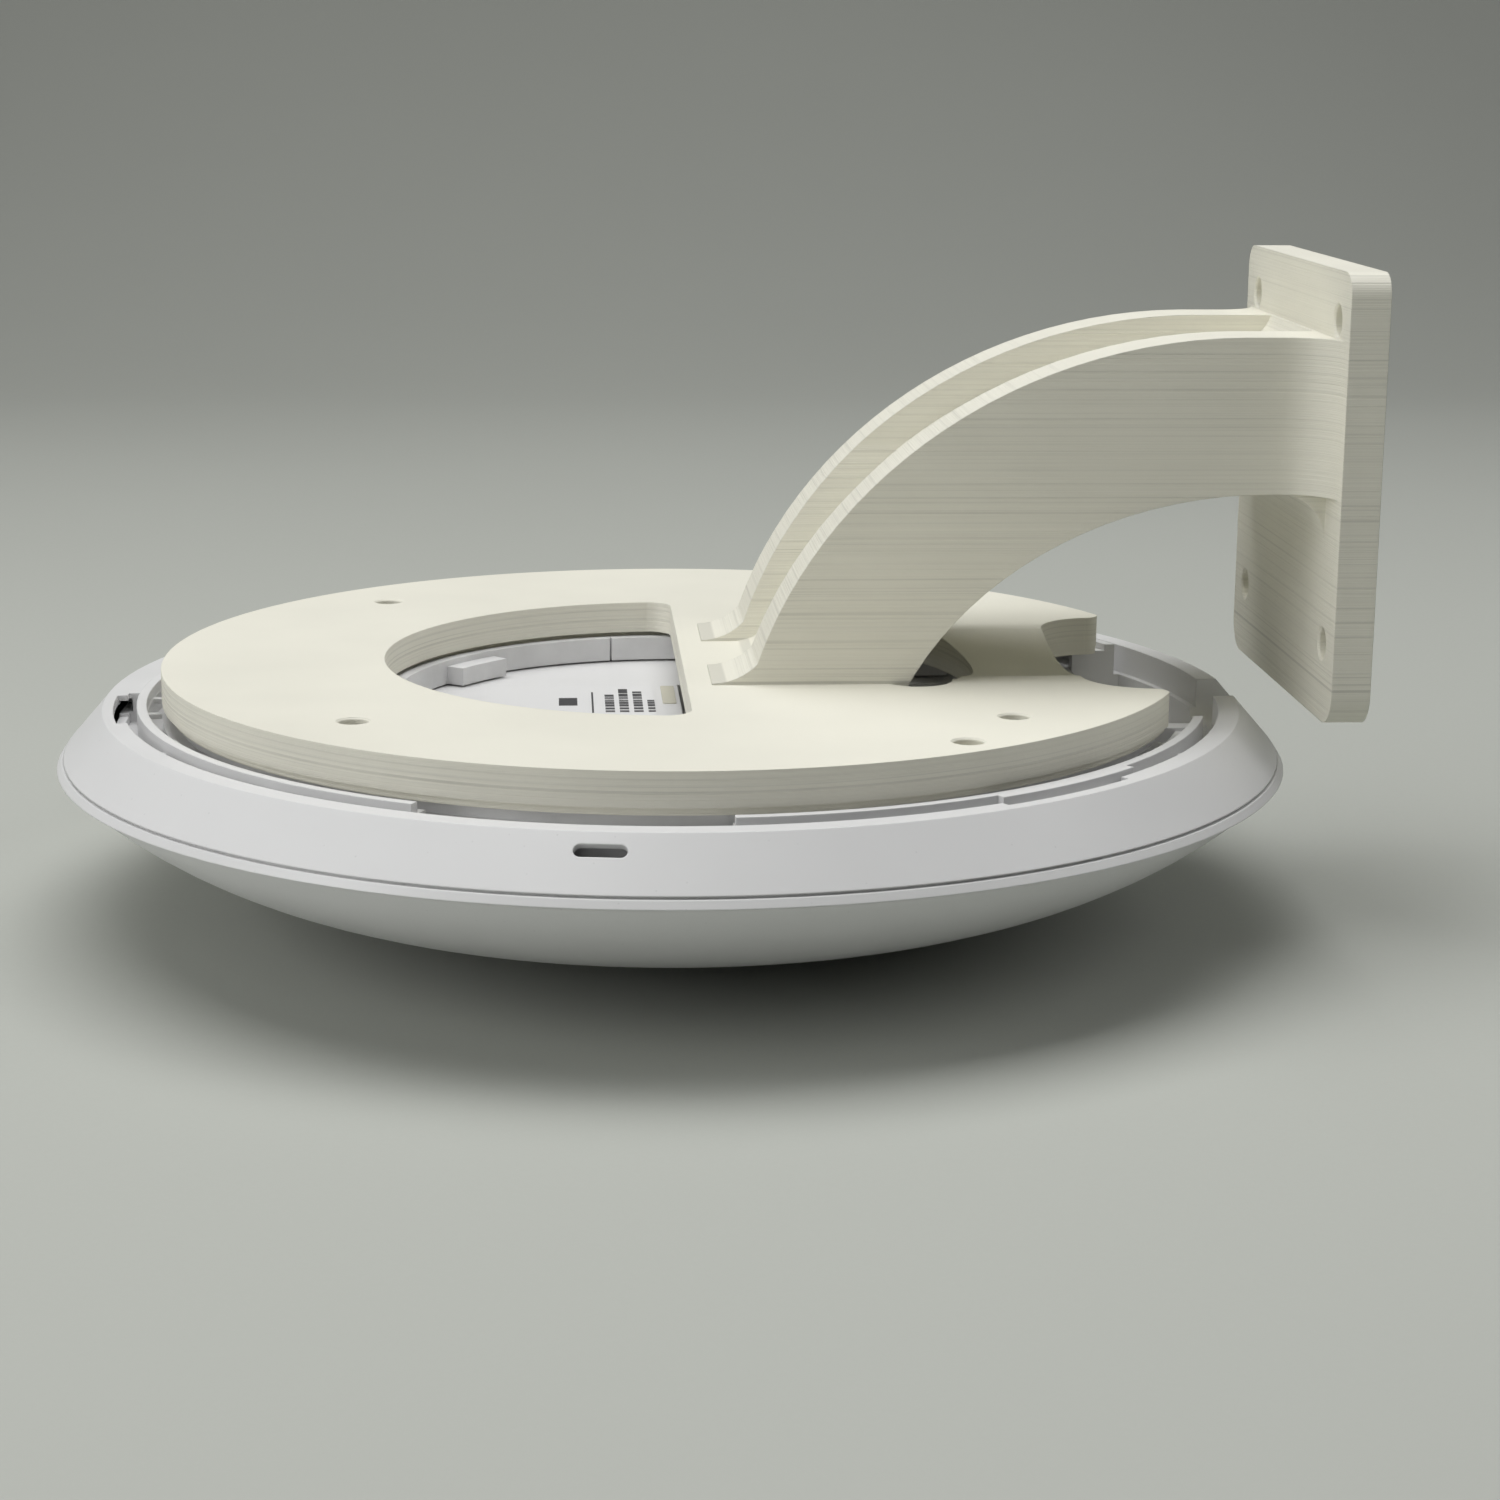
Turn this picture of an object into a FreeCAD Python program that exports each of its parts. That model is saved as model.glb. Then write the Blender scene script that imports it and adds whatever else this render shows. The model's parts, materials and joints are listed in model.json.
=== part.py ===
"""A round access point hung under a printed wall-arm bracket, as a parametric FreeCAD document.

Every shape is drawn about the access point's axis, with height 0 at the seam between its rear housing
and its dome, and is then placed against the wall: the origin is on the wall plate's back face, at the
centre of its four screw holes, with X pointing into the wall and Z up.
"""

import FreeCAD, Part
import math
import os

import Sketcher
from FreeCAD import Placement, Rotation, Vector

# The driving dimensions, in millimetres and degrees. Each becomes a named cell of the spreadsheet.
DIMENSIONS = {
    # where the access point hangs
    "wall_clearance": 9.2,  # wall face to the access point's rim
    "drop": 55.2,  # screw pattern's centre down to the seam
    # wall plate and its screw holes
    "wall_plate_thickness": 7.5,
    "wall_plate_side_margin": 9.28,  # hole centres out to the plate's sides
    "wall_plate_above": 40.2,  # pattern's centre up to the plate's top
    "wall_plate_below": 45.6,
    "wall_plate_top_corner": 4.5,
    "wall_plate_bottom_corner": 6.5,
    "wall_hole_radius": 3.0,
    "wall_hole_pitch_across": 66.14,
    "wall_hole_pitch_up": 61.6,
    # arm, with elliptical outer and inner curves
    "arm_width": 62.0,
    "arm_outer_from_wall": 23.5,  # wall face to the outer curve's centre
    "arm_outer_centre_z": -6.35,
    "arm_outer_start": 13.55,  # where the outer curve meets the disc's top
    "arm_above": 27.4,  # screw pattern's centre up to the arm's top
    "arm_inner_from_wall": 18.8,
    "arm_inner_centre_z": -9.3,
    "arm_inner_start": 44.03,
    "arm_under": 2.35,  # screw pattern's centre down to the arm's underside
    "arm_channel_width": 36.0,
    "arm_channel_depth": 6.0,
    "arm_channel_foot_width": 25.0,
    "arm_channel_taper_height": 40.0,
    "arm_toe_thickness": 0.3,
    "arm_foot_radius": 12.0,
    "arm_wall_radius": 9.0,
    # disc under the arm
    "disc_gap": 0.2,  # disc's edge inside the housing's ring
    "disc_bottom": 8.5,
    "disc_thickness": 8.0,
    "disc_step_width": 1.2,
    "disc_step_height": 1.5,
    "disc_relief_radius": 60.5,
    "window_radius": 57.5,
    "window_straight": 1.4,
    "window_corner": 5.0,
    "disc_hole_radius": 2.75,
    "disc_hole_place": 60.0,
    "spare_hole_x": 48.9,
    "spare_hole_y": 80.0,
    "hole_chamfer": 0.4,
    "cable_hole_radius": 60.0,
    "cable_hole_half_width": 33.5,
    "cable_hole_corner": 7.0,
    "trough_half_width": 24.0,
    "trough_depth": 2.6,
    "rim_notch_depth": 22.7,
    "rim_notch_corner": 12.5,
    "rim_notch_tip": 3.0,
    # twist-lock plate
    "plate_inner_radius": 55.5,
    "plate_wall_width": 2.5,
    "plate_wall_top": 9.1,
    "plate_rim_inset": 3.0,
    "plate_height": 4.2,
    "plate_bay_margin": 6.0,
    "plate_split_width": 0.4,
    "plate_split_place": -11.8,
    "plate_mouth_from": -22.3,
    "plate_mouth_to": 53.0,
    "lug_depth": 4.0,
    "lug_height": 3.7,
    "lug_angle": 15.0,
    "tab_reach": 2.4,
    "tab_thickness": 2.0,
    "tab_angle": 13.0,
    "twist_travel": 22.0,
    "body_gap": 0.3,  # between pieces that move past each other
    # rear housing, from the rim inward
    "rim_radius": 121.5,
    "rim_overhang": 1.25,
    "lip_run": 7.75,
    "lip_width": 4.1,
    "lip_height": 8.9,
    "lip_thickness": 1.9,
    "lip_wall": 1.8,
    "groove_width": 2.5,
    "groove_floor": 3.0,
    "ring_width": 4.7,
    "ring_lip_width": 1.9,
    "ring_height": 9.6,
    "shelf_thickness": 0.9,
    "floor_height": 3.8,
    "floor_thickness": 2.4,
    "shell_wall": 2.2,
    "front_gap_from": -117.0,
    "front_gap_to": -86.5,
    "side_gap_from": -59.2,
    "side_gap_to": -42.8,
    "bay_start": 2.0,
    "bay_half_width": 30.0,
    "trench_inset": 13.2,  # ring's inner face in to the trench
    "trench_offset": 12.0,
    "trench_rib": 4.0,
    "bay_floor": -11.0,
    "trench_floor": -3.0,
    "bay_step": 12.0,
    "bay_wall": 2.0,
    "notch_half_width": 8.2,
    "notch_floor": 1.0,
    "notch_corner": 4.0,
    "notch_liner": 1.8,
    "lock_slot_length": 9.1,
    "lock_slot_height": 2.4,
    # dome
    "rim_depth": 1.9,
    "seam_groove_height": 0.45,
    "seam_groove_depth": 0.6,
    "dome_edge_inset": 1.5,
    "dome_edge_drop": 2.5,
    "dome_shoulder_inset": 43.5,
    "dome_shoulder_drop": 24.9,
    "dome_shoulder_curve": 93.1,
    "dome_crown_drop": 33.9,
    "dome_wall": 2.2,
    "tongue_width": 1.5,
    "tongue_height": 2.0,
    "fit_gap": 0.2,  # between pieces that are fixed together
    # inside
    "boss_inset": 13.4,
    "boss_radius": 4.0,
    "board_inset": 7.0,
    "post_circle": 72.0,
    "post_radius": 3.5,
    "screw_circle": 80.0,
    "spreader_top": 1.2,
    "spreader_thickness": 3.0,
    "board_thickness": 1.6,
    "antenna_plate_radius": 74.0,
    "antenna_plate_gap": 4.0,  # board's upper face down to the reflector
    "antenna_plate_thickness": 0.8,
    "antenna_drop": 7.0,
    "feed_clearance": 6.185,  # cable bay's wall out to the long antennas' feeds
    # controls and ports
    "button_radius": 1.5,
    "button_travel": 0.5,
    "stem_radius": 0.82,
    "label_thickness": 0.2,
}

BOSS_ANGLES = (33, 90, 150, 210, 270, 327)
POST_ANGLES = (55, 125, 180, 235, 305)
PILLAR_ANGLES = (70, 110, 250, 290)
LONG_ANTENNA_ANGLES = (45, 135, 225, 315)
SHORT_ANTENNA_ANGLES = (100, 150, 210, 260)
LUG_ANGLES = (49, 139, 229, 319)
LEFT_CELLS = ((152, 178), (179, 186), (187, 200))
RIB_ANGLES = (-155, -134, -30)
LOCK_SLOT_ANGLE = -8.2  # from the side facing away from the arm's middle plane


class Size:
    """A number that remembers its spreadsheet formula, so that plain arithmetic binds a property."""

    def __init__(self, value, formula=None):
        self.value = float(value)
        self.formula = formula or f"{float(value):.6f}"

    def __add__(self, other):
        return self.join(other, "+", self.value + size(other).value)

    def __sub__(self, other):
        return self.join(other, "-", self.value - size(other).value)

    def __mul__(self, other):
        return self.join(other, "*", self.value * size(other).value)

    def __truediv__(self, other):
        return self.join(other, "/", self.value / size(other).value)

    def __radd__(self, other):
        return size(other) + self

    def __rsub__(self, other):
        return size(other) - self

    def __rmul__(self, other):
        return size(other) * self

    def __neg__(self):
        return size(-1) * self

    def join(self, other, sign, value):
        return Size(value, f"({self.formula} {sign} {size(other).formula})")


def size(number):
    return number if isinstance(number, Size) else Size(number)


def root(number):
    return Size(math.sqrt(number.value), f"sqrt({number.formula})")


document = FreeCAD.newDocument("wall_arm_access_point")
sheet = document.addObject("Spreadsheet::Sheet", "Dims")


class Dimensions:
    """The spreadsheet's cells by their names, as Size values."""


d = Dimensions()
for row, (word, number) in enumerate(DIMENSIONS.items(), start=1):
    sheet.set(f"A{row}", word)
    sheet.set(f"B{row}", str(number))
    sheet.setAlias(f"B{row}", word)
    setattr(d, word, Size(number, f"Dims.{word}"))
document.recompute()


def curve_reach(centre_x, start_x, centre_z, rise):
    """An ellipse's half width that brings its side to a given place at the disc's top."""
    share = (d.disc_bottom + d.disc_thickness - centre_z) / rise
    return (centre_x - start_x) / root(1 - share * share)


# Radii and places that follow from the driving dimensions, from the rim inward.
d.seam_radius = d.rim_radius - d.rim_overhang
d.lip_outer_radius = d.seam_radius - d.lip_run
d.lip_inner_radius = d.lip_outer_radius - d.lip_width
d.ring_outer_radius = d.lip_inner_radius - d.groove_width
d.ring_lip_radius = d.ring_outer_radius - d.ring_lip_width
d.ring_inner_radius = d.ring_outer_radius - d.ring_width
d.disc_radius = d.ring_inner_radius - d.disc_gap
d.dome_edge_radius = d.rim_radius - d.dome_edge_inset
d.dome_shoulder_radius = d.rim_radius - d.dome_shoulder_inset
d.boss_circle = d.lip_inner_radius - d.boss_inset
d.inner_radius = d.boss_circle - d.board_inset
d.trench_start = d.ring_inner_radius - d.trench_inset
d.trench_far_side = d.bay_half_width + d.trench_offset
d.bay_end = d.trench_start - d.bay_step
d.reach = d.rim_radius + d.wall_clearance
d.arm_outer_centre_x = d.reach - d.arm_outer_from_wall
d.arm_outer_rise = d.drop + d.arm_above - d.arm_outer_centre_z
d.arm_outer_reach = curve_reach(
    d.arm_outer_centre_x, d.arm_outer_start, d.arm_outer_centre_z, d.arm_outer_rise
)
d.arm_inner_centre_x = d.reach - d.arm_inner_from_wall
d.arm_inner_rise = d.drop - d.arm_under - d.arm_inner_centre_z
d.arm_inner_reach = curve_reach(
    d.arm_inner_centre_x, d.arm_inner_start, d.arm_inner_centre_z, d.arm_inner_rise
)

sub_parts = []
corners = {}  # where each piece was placed, before it is hung from the wall


# ---- building blocks -------------------------------------------------------------------------------


def bind(piece, **sizes):
    """Set each property and tie it to the spreadsheet."""
    for name, number in sizes.items():
        setattr(piece, name, size(number).value)
        piece.setExpression(name, size(number).formula)
    return piece


def place(piece, x=0, y=0, z=0, axis=(0, 0, 1), angle=0):
    """Put a piece at a bound place, turned about an axis."""
    corner = [size(number) for number in (x, y, z)]
    corners[piece.Name] = corner
    turn = Rotation(Vector(*axis), size(angle).value)
    piece.Placement = Placement(Vector(*[number.value for number in corner]), turn)
    for letter, number in zip("xyz", corner):
        piece.setExpression(f"Placement.Base.{letter}", number.formula)
    if isinstance(angle, Size):
        piece.setExpression("Placement.Rotation.Angle", angle.formula)
    return piece


def box(x0, x1, y0, y1, z0, z1):
    block = document.addObject("Part::Box", "block")
    x0, x1, y0, y1, z0, z1 = [size(number) for number in (x0, x1, y0, y1, z0, z1)]
    bind(block, Length=x1 - x0, Width=y1 - y0, Height=z1 - z0)
    return place(block, x0, y0, z0)


def cylinder(radius, z0, z1, x=0, y=0):
    rod = document.addObject("Part::Cylinder", "rod")
    bind(rod, Radius=radius, Height=size(z1) - size(z0))
    return place(rod, x, y, z0)


def cylinder_x(radius, x0, x1, y, z):
    rod = document.addObject("Part::Cylinder", "rod")
    bind(rod, Radius=radius, Height=size(x1) - size(x0))
    return place(rod, x0, y, z, (0, 1, 0), 90)


def cylinder_y(radius, y0, y1, x, z):
    rod = document.addObject("Part::Cylinder", "rod")
    bind(rod, Radius=radius, Height=size(y1) - size(y0))
    return place(rod, x, y0, z, (1, 0, 0), -90)


def cone(radius0, radius1, z0, z1, x=0, y=0):
    taper = document.addObject("Part::Cone", "taper")
    bind(taper, Radius1=radius0, Radius2=radius1, Height=size(z1) - size(z0))
    return place(taper, x, y, z0)


def fuse(*pieces):
    if len(pieces) == 1:
        return pieces[0]
    joined = document.addObject("Part::MultiFuse", "joined")
    joined.Shapes = list(pieces)
    joined.Refine = True
    return joined


def cut(base, *tools):
    rest = document.addObject("Part::Cut", "rest")
    rest.Base = base
    rest.Tool = tools[0] if len(tools) == 1 else fuse(*tools)
    rest.Refine = True
    return rest


def common(first, second):
    shared = document.addObject("Part::Common", "shared")
    shared.Base = first
    shared.Tool = second
    shared.Refine = True
    return shared


def sector(radius0, radius1, z0, z1, angle0, angle1):
    """An arc-shaped bar between two radii and two angles."""
    outer = document.addObject("Part::Cylinder", "wedge")
    bind(outer, Radius=radius1, Height=size(z1) - size(z0), Angle=size(angle1) - size(angle0))
    place(outer, 0, 0, z0, angle=size(angle0))
    return cut(outer, cylinder(radius0, size(z0) - 1, size(z1) + 1))


def ring(radius0, radius1, z0, z1, x=0, y=0):
    return cut(cylinder(radius1, z0, z1, x, y), cylinder(radius0, size(z0) - 1, size(z1) + 1, x, y))


def mirrored(piece, normal=(0, 1, 0)):
    twin = document.addObject("Part::Mirroring", "twin")
    twin.Source = piece
    twin.Normal = Vector(*normal)
    return twin


def rounded_block(x0, x1, y0, y1, z0, z1, corner):
    """A block whose four upright edges are round."""
    x0, x1, y0, y1, corner = [size(number) for number in (x0, x1, y0, y1, corner)]
    pieces = [box(x0 + corner, x1 - corner, y0, y1, z0, z1), box(x0, x1, y0 + corner, y1 - corner, z0, z1)]
    for x in (x0 + corner, x1 - corner):
        for y in (y0 + corner, y1 - corner):
            pieces.append(cylinder(corner, z0, z1, x, y))
    return fuse(*pieces)


def on_circle(radius, angle):
    """The place on a circle about the access point's axis, as two bound sizes."""
    radians = math.radians(angle)
    return radius * round(math.cos(radians), 6), radius * round(math.sin(radians), 6)


def revolved(name, outline):
    """A body turned from an outline of (radius, height) corners; a third value curves the next side.

    The third value is the radius of an arc to the next corner that bulges away from the axis.
    """
    body = document.addObject("PartDesign::Body", name)
    sketch = body.newObject("Sketcher::SketchObject", name + "_outline")
    plane = [item for item in body.Origin.OriginFeatures if item.Role == "XZ_Plane"][0]
    sketch.AttachmentSupport = [(plane, "")]
    sketch.MapMode = "FlatFace"
    corners = [(size(corner[0]), size(corner[1])) for corner in outline]
    points = [Vector(radius.value, height.value, 0) for radius, height in corners]
    ends = []
    for index, corner in enumerate(outline):
        start, end = points[index], points[(index + 1) % len(points)]
        if len(corner) == 2:
            sketch.addGeometry(Part.LineSegment(start, end), False)
            ends.append((1, 2))
        else:
            arc, order = bulged_arc(start, end, size(corner[2]).value)
            sketch.addGeometry(arc, False)
            ends.append(order)
            curve = size(corner[2])
            fix(sketch, f"curve_{index}", "Radius", index, curve if curve.value > 0 else -curve, None)
    for index, (radius, height) in enumerate(corners):
        after = (index + 1) % len(corners)
        sketch.addConstraint(Sketcher.Constraint("Coincident", index, ends[index][1], after, ends[after][0]))
        fix(sketch, f"radius_{index}", "DistanceX", index, radius, ends[index][0])
        fix(sketch, f"height_{index}", "DistanceY", index, height, ends[index][0])
    turn = body.newObject("PartDesign::Revolution", name + "_turn")
    turn.Profile = sketch
    turn.ReferenceAxis = (sketch, ["V_Axis"])
    turn.Angle = 360
    body.Tip = turn
    return body


def bulged_arc(start, end, radius):
    """An arc of a given radius between two points, and which of its ends comes first.

    It bulges to the right of the way from start to end when the radius is positive.
    """
    chord = end - start
    middle = (start + end) * 0.5
    right = Vector(chord.y, -chord.x, 0).normalize()
    side = 1 if radius > 0 else -1
    rise = math.sqrt(radius**2 - (chord.Length / 2) ** 2)
    centre = middle - right * (rise * side)
    circle = Part.Circle(centre, Vector(0, 0, 1), abs(radius))
    first, last = (start, end) if side > 0 else (end, start)
    low, high = circle.parameter(first), circle.parameter(last)
    if high < low:
        high += 2 * math.pi
    return Part.ArcOfCircle(circle, low, high), ((1, 2) if first is start else (2, 1))


def fix(sketch, name, kind, geometry, number, end):
    """Add a named dimension to a sketch and tie it to the spreadsheet."""
    if end is None:
        item = Sketcher.Constraint(kind, geometry, number.value)
    else:
        item = Sketcher.Constraint(kind, -1, 1, geometry, end, number.value)
    index = sketch.addConstraint(item)
    sketch.renameConstraint(index, name)
    sketch.setExpression(f"Constraints.{name}", number.formula)


def sub_part(label, piece):
    """Name a finished piece and hang it at its place below and before the wall."""
    piece.Label = label
    x, y, z = corners.get(piece.Name, (size(0), size(0), size(0)))
    turn = piece.Placement.Rotation
    place(piece, x - d.reach, y, z - d.drop, tuple(turn.Axis), math.degrees(turn.Angle))
    sub_parts.append(piece)
    return piece


# ---- printed wall-arm bracket ----------------------------------------------------------------------


def elliptic_block(centre_x, centre_z, reach, rise, half_width):
    """A solid with an upright elliptical outline, spread to both sides of the arm's middle plane."""
    oval = document.addObject("Part::Ellipse", "oval")
    if rise.value > reach.value:
        bind(oval, MajorRadius=rise, MinorRadius=reach)
        place(oval, centre_x, half_width, centre_z, (1, 1, 1), -120)
    else:
        bind(oval, MajorRadius=reach, MinorRadius=rise)
        place(oval, centre_x, half_width, centre_z, (1, 0, 0), 90)
    solid = document.addObject("Part::Extrusion", "oval_block")
    solid.Base = oval
    solid.DirMode = "Custom"
    solid.Dir = Vector(0, -1, 0)
    solid.Solid = True
    bind(solid, LengthFwd=2 * half_width)
    return solid


def arm_outer_x(height):
    """Where the arm's outer curve stands at a height."""
    rise = (height - d.arm_outer_centre_z) / d.arm_outer_rise
    return d.arm_outer_centre_x - d.arm_outer_reach * root(1 - rise * rise)


def arm():
    """The curved arm: ridges beside a shallow cable channel, and a hollow under its inner curve."""
    half = d.arm_width / 2
    channel = d.arm_channel_width / 2
    base = d.disc_bottom + d.disc_thickness
    front = d.reach - d.wall_plate_thickness
    outer = elliptic_block(
        d.arm_outer_centre_x, d.arm_outer_centre_z, d.arm_outer_reach, d.arm_outer_rise, half
    )
    hollow = elliptic_block(
        d.arm_inner_centre_x, d.arm_inner_centre_z, d.arm_inner_reach, d.arm_inner_rise, half + 20
    )
    shelf_x = d.arm_outer_centre_x
    top = d.arm_outer_centre_z + d.arm_outer_rise
    under = d.arm_inner_centre_z + d.arm_inner_rise
    curve = common(outer, box(0, shelf_x, -half, half, base - 1, top + 1))
    straight = box(shelf_x - 1, front + 1, -half, half, base - 1, top)
    toes = foot(base, half)
    below = box(d.arm_inner_centre_x, front + 2, -half - 20, half + 20, base - 2, under)
    solid = cut(fuse(curve, straight, toes), hollow, below)
    return cut(solid, cable_channel(channel, base, front, top))


def foot(base, half):
    """The concave foot where the ridges run out on to the disc as thin toes."""
    toe_top = base + d.arm_toe_thickness
    centre_z = toe_top + d.arm_foot_radius
    centre_x = arm_outer_x(centre_z) - d.arm_foot_radius
    block = box(centre_x, centre_x + 2 * d.arm_foot_radius, -half, half, base - 1, centre_z)
    scoop = cylinder_y(d.arm_foot_radius, -half - 1, half + 1, centre_x, centre_z)
    return cut(block, scoop)


def cable_channel(channel, base, front, top):
    """The channel down the arm's outer face, narrower at its foot and ramped up at the wall."""
    depth = d.arm_channel_depth
    core = elliptic_block(
        d.arm_outer_centre_x,
        d.arm_outer_centre_z,
        d.arm_outer_reach - depth,
        d.arm_outer_rise - depth,
        channel + 1,
    )
    slab = box(-10, d.arm_outer_centre_x, -channel, channel, base, top + 1)
    level = box(d.arm_outer_centre_x - 1, front, -channel, channel, top - depth, top + 1)
    foot_z = base + d.arm_foot_radius
    foot_x = arm_outer_x(foot_z) + depth - d.arm_foot_radius
    foot_end = foot_x + 2 * d.arm_foot_radius
    foot_web = hollow_web(d.arm_foot_radius, foot_x, foot_end, base - 2, foot_z, channel)
    ramp = d.arm_wall_radius
    low = top - depth
    wall_web = hollow_web(ramp, front - ramp, front + 1, low - 1, low + ramp, channel)
    lean = leaning_side(channel, base)
    return fuse(cut(slab, core, foot_web, lean, mirrored(lean)), cut(level, wall_web))


def hollow_web(radius, x0, x1, z0, z1, half):
    """A web across the channel, hollowed by a round bar along its upper near corner."""
    block = box(x0, x1, -half - 1, half + 1, z0, z1)
    return cut(block, cylinder_y(radius, -half - 2, half + 2, x0, z1))


def leaning_side(channel, base):
    """The part of one channel side that leans in toward the foot."""
    shift = channel - d.arm_channel_foot_width / 2
    angle = math.degrees(math.atan2(shift.value, d.arm_channel_taper_height.value))
    length = d.arm_outer_centre_x + 20
    block = document.addObject("Part::Box", "block")
    bind(block, Length=length, Width=2 * channel, Height=2 * d.arm_channel_taper_height)
    return place(block, -10, d.arm_channel_foot_width / 2, base, (1, 0, 0), -angle)


def wall_plate():
    """The upright plate: smaller round corners at its top than at its bottom."""
    front = d.reach - d.wall_plate_thickness
    half = d.wall_hole_pitch_across / 2 + d.wall_plate_side_margin
    upper, lower = d.wall_plate_top_corner, d.wall_plate_bottom_corner
    low, high = d.drop - d.wall_plate_below, d.drop + d.wall_plate_above
    slabs = [
        box(front, d.reach, -half, half, low + lower, high - upper),
        box(front, d.reach, -half + upper, half - upper, high - upper - 1, high),
        box(front, d.reach, -half + lower, half - lower, low, low + lower + 1),
    ]
    for side in (-1, 1):
        slabs.append(cylinder_x(upper, front, d.reach, side * (half - upper), high - upper))
        slabs.append(cylinder_x(lower, front, d.reach, side * (half - lower), low + lower))
    return fuse(*slabs)


def wall_holes():
    front = d.reach - d.wall_plate_thickness
    across = d.wall_hole_pitch_across / 2
    up = d.wall_hole_pitch_up / 2
    tools = []
    for y in (-across, across):
        for z in (d.drop - up, d.drop + up):
            tools.append(cylinder_x(d.wall_hole_radius, front - 1, d.reach + 1, y, z))
            mouth = document.addObject("Part::Cone", "mouth")
            wide = d.wall_hole_radius + d.hole_chamfer
            bind(mouth, Radius1=wide, Radius2=d.wall_hole_radius, Height=d.hole_chamfer)
            tools.append(place(mouth, front, y, z, (0, 1, 0), 90))
    return fuse(*tools)


def wall_fillets():
    """Hollow webs that spread the arm into the wall plate at its sides and below it."""
    front = d.reach - d.wall_plate_thickness
    half = d.arm_width / 2
    spread = d.arm_wall_radius
    top = d.arm_outer_centre_z + d.arm_outer_rise
    under = d.arm_inner_centre_z + d.arm_inner_rise
    below = box(front - spread, front + 1, -half, half, under - spread, under + 1)
    below = cut(below, cylinder_y(spread, -half - 1, half + 1, front - spread, under - spread))
    side = box(front - spread, front + 1, half - 1, half + spread, under, top)
    side = cut(side, cylinder(spread, under - 1, top + 1, front - spread, half + spread))
    return fuse(below, side, mirrored(side))


def disc():
    """The flat disc: stepped under its edge and relieved around its window, with its openings."""
    bottom = d.disc_bottom
    top = bottom + d.disc_thickness
    under = bottom + d.disc_step_height
    slab = cylinder(d.disc_radius, under, top)
    step = ring(d.disc_relief_radius, d.disc_radius - d.disc_step_width, bottom, under + 0.5)
    return cut(
        fuse(slab, step),
        window(bottom, top),
        cable_hole(bottom, top),
        trough(top),
        rim_notch(bottom, top),
        disc_holes(bottom, top),
    )


def window(bottom, top):
    """A half-round window with rounded corners at its straight side."""
    corner = d.window_corner
    reach = d.window_radius - corner
    edge = d.window_straight - corner
    corner_y = root(reach * reach - edge * edge)
    low, high = bottom - 1, top + 1
    arc = common(
        cylinder(d.window_radius, low, high),
        box(-d.window_radius - 1, edge, -d.window_radius - 1, d.window_radius + 1, low, high),
    )
    straight = box(edge - 1, d.window_straight, -corner_y, corner_y, low, high)
    rounds = [cylinder(corner, low, high, edge, side * corner_y) for side in (-1, 1)]
    return fuse(arc, straight, *rounds)


def cable_hole(bottom, top):
    """The hole behind the arm's foot that lets the cable down into the bay."""
    low, high = bottom - 1, top + 1
    corner = d.cable_hole_corner
    rise = (top - d.arm_inner_centre_z) / d.arm_inner_rise
    start = d.arm_inner_centre_x - d.arm_inner_reach * root(1 - rise * rise)
    half = d.cable_hole_half_width
    corner_y = half - corner
    reach = d.cable_hole_radius - corner
    corner_x = root(reach * reach - corner_y * corner_y)
    arc = common(
        cylinder(d.cable_hole_radius, low, high), box(start, 80, -corner_y, corner_y, low, high)
    )
    sides = box(start, corner_x, -half, half, low, high)
    rounds = [cylinder(corner, low, high, corner_x, side * corner_y) for side in (-1, 1)]
    return fuse(arc, sides, *rounds)


def trough(top):
    """A shallow hollow from the cable hole to the rim notch, curved across its width."""
    half, depth = d.trough_half_width, d.trough_depth
    radius = (half * half + depth * depth) / (2 * depth)
    return cylinder_x(radius, 50, d.disc_radius + 1, 0, top - depth + radius)


def rim_notch(bottom, top):
    """The notch in the disc's rim: hollow corners open it out to a wider mouth with round tips."""
    low, high = bottom - 1, top + 1
    half, corner, tip = d.trough_half_width, d.rim_notch_corner, d.rim_notch_tip
    edge = d.disc_radius - d.rim_notch_depth
    end = d.disc_radius + 1
    middle = box(edge, end, -half, half, low, high)
    wide = box(edge + corner, end, -half - corner, half + corner, low, high)
    hollows = [cylinder(corner, low, high, edge + corner, side * half) for side in (-1, 1)]
    tip_y = half + corner + tip
    reach = d.disc_radius - tip
    tip_x = root(reach * reach - tip_y * tip_y)
    outside = box(tip_x, end, tip_y - tip - 1, tip_y * d.disc_radius / reach, low, high)
    outside = cut(outside, cylinder(tip, low - 1, high + 1, tip_x, tip_y))
    return fuse(middle, wide, *hollows, outside, mirrored(outside))


def disc_holes(bottom, top):
    """Four holes for the twist-lock plate's screws and two spare ones, with small chamfers."""
    place_xy = d.disc_hole_place
    spots = [(-place_xy, -place_xy), (-place_xy, place_xy), (place_xy, -place_xy), (place_xy, place_xy)]
    spots += [(d.spare_hole_x, -d.spare_hole_y), (d.spare_hole_x, d.spare_hole_y)]
    tools = []
    for x, y in spots:
        tools.append(cylinder(d.disc_hole_radius, bottom - 1, top + 1, x, y))
        wide = d.disc_hole_radius + d.hole_chamfer
        tools.append(cone(d.disc_hole_radius, wide, top - d.hole_chamfer, top, x, y))
    return fuse(*tools)


def wall_arm_bracket():
    solid = fuse(disc(), arm(), wall_fillets(), wall_plate())
    return sub_part("wall_arm_bracket", cut(solid, wall_holes()))


# ---- twist-lock plate ------------------------------------------------------------------------------


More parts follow.
